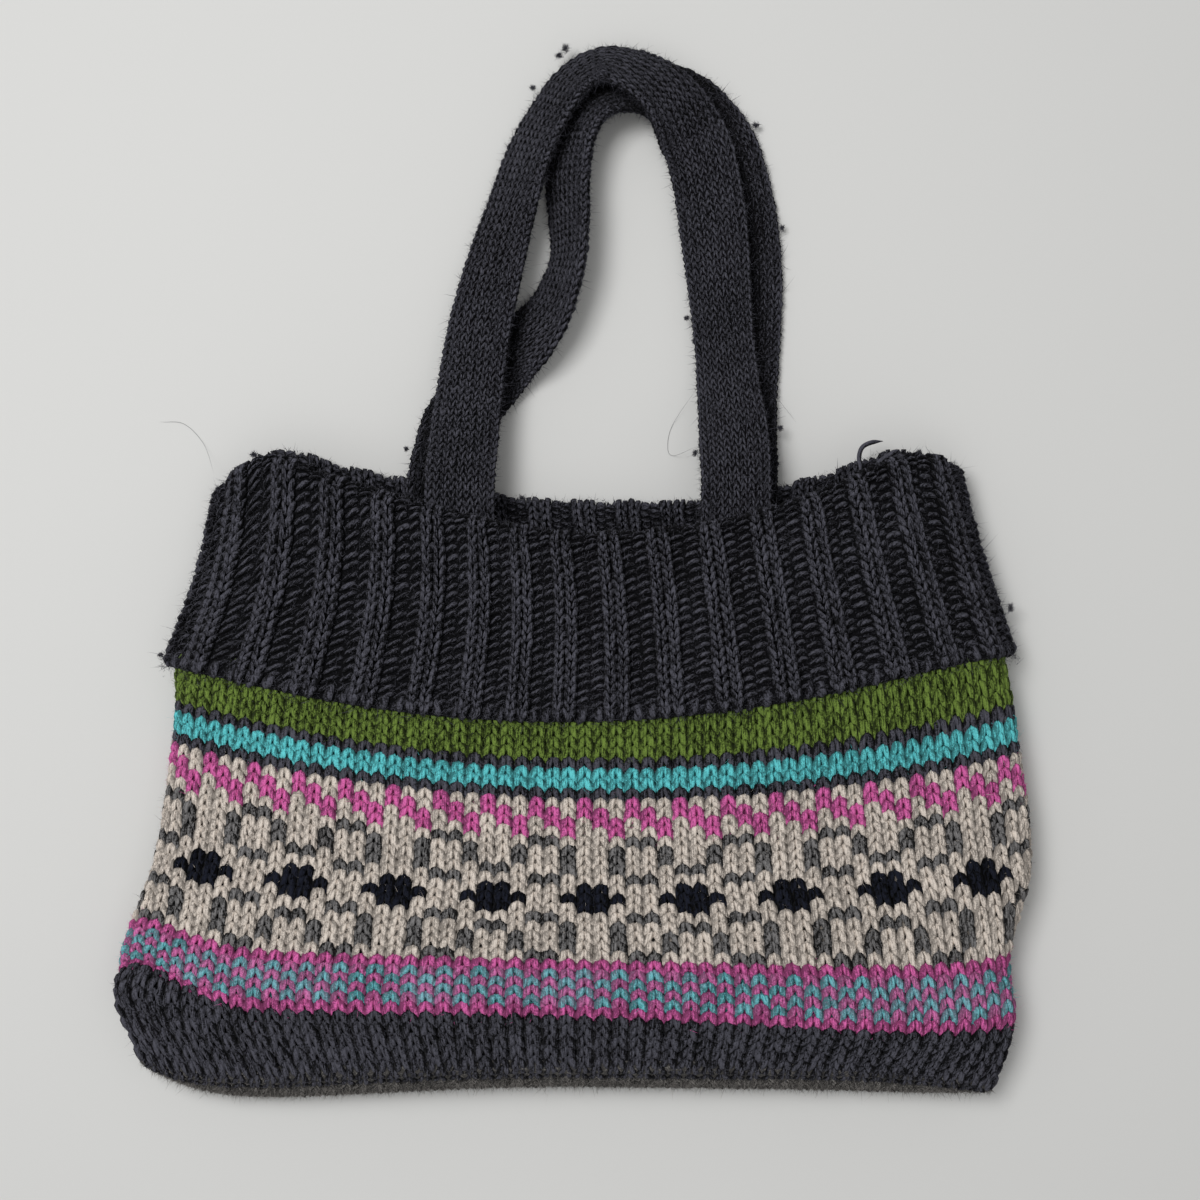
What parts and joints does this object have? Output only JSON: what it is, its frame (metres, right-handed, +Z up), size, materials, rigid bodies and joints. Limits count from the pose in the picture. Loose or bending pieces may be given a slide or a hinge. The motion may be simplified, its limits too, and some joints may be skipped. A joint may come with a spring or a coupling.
{
  "type": "knit shoulder bag",
  "caption": "Hollow knitted shoulder bag lying on its back: patterned tube body, slanted base gusset, folded ribbed cuff at the mouth and flat knitted shoulder straps.",
  "frame": {"origin": "bottom centre of the bounding box, on the table under the lying bag", "axes": "+X across the bag to the picture's right, +Y from the base towards the mouth and the straps, +Z up from the table through the front panel"},
  "size_m": [0.376, 0.4374, 0.0498],
  "materials": {
    "patterned_knit": "matte knitted wool in coloured bands",
    "charcoal_knit": "matte knitted wool"
  },
  "bodies": {
    "root": {"body": "patterned_knit", "base_gusset": "charcoal_knit", "rib_cuff": "charcoal_knit", "strap_front": "charcoal_knit", "strap_back": "charcoal_knit"}
  },
  "joints": []
}
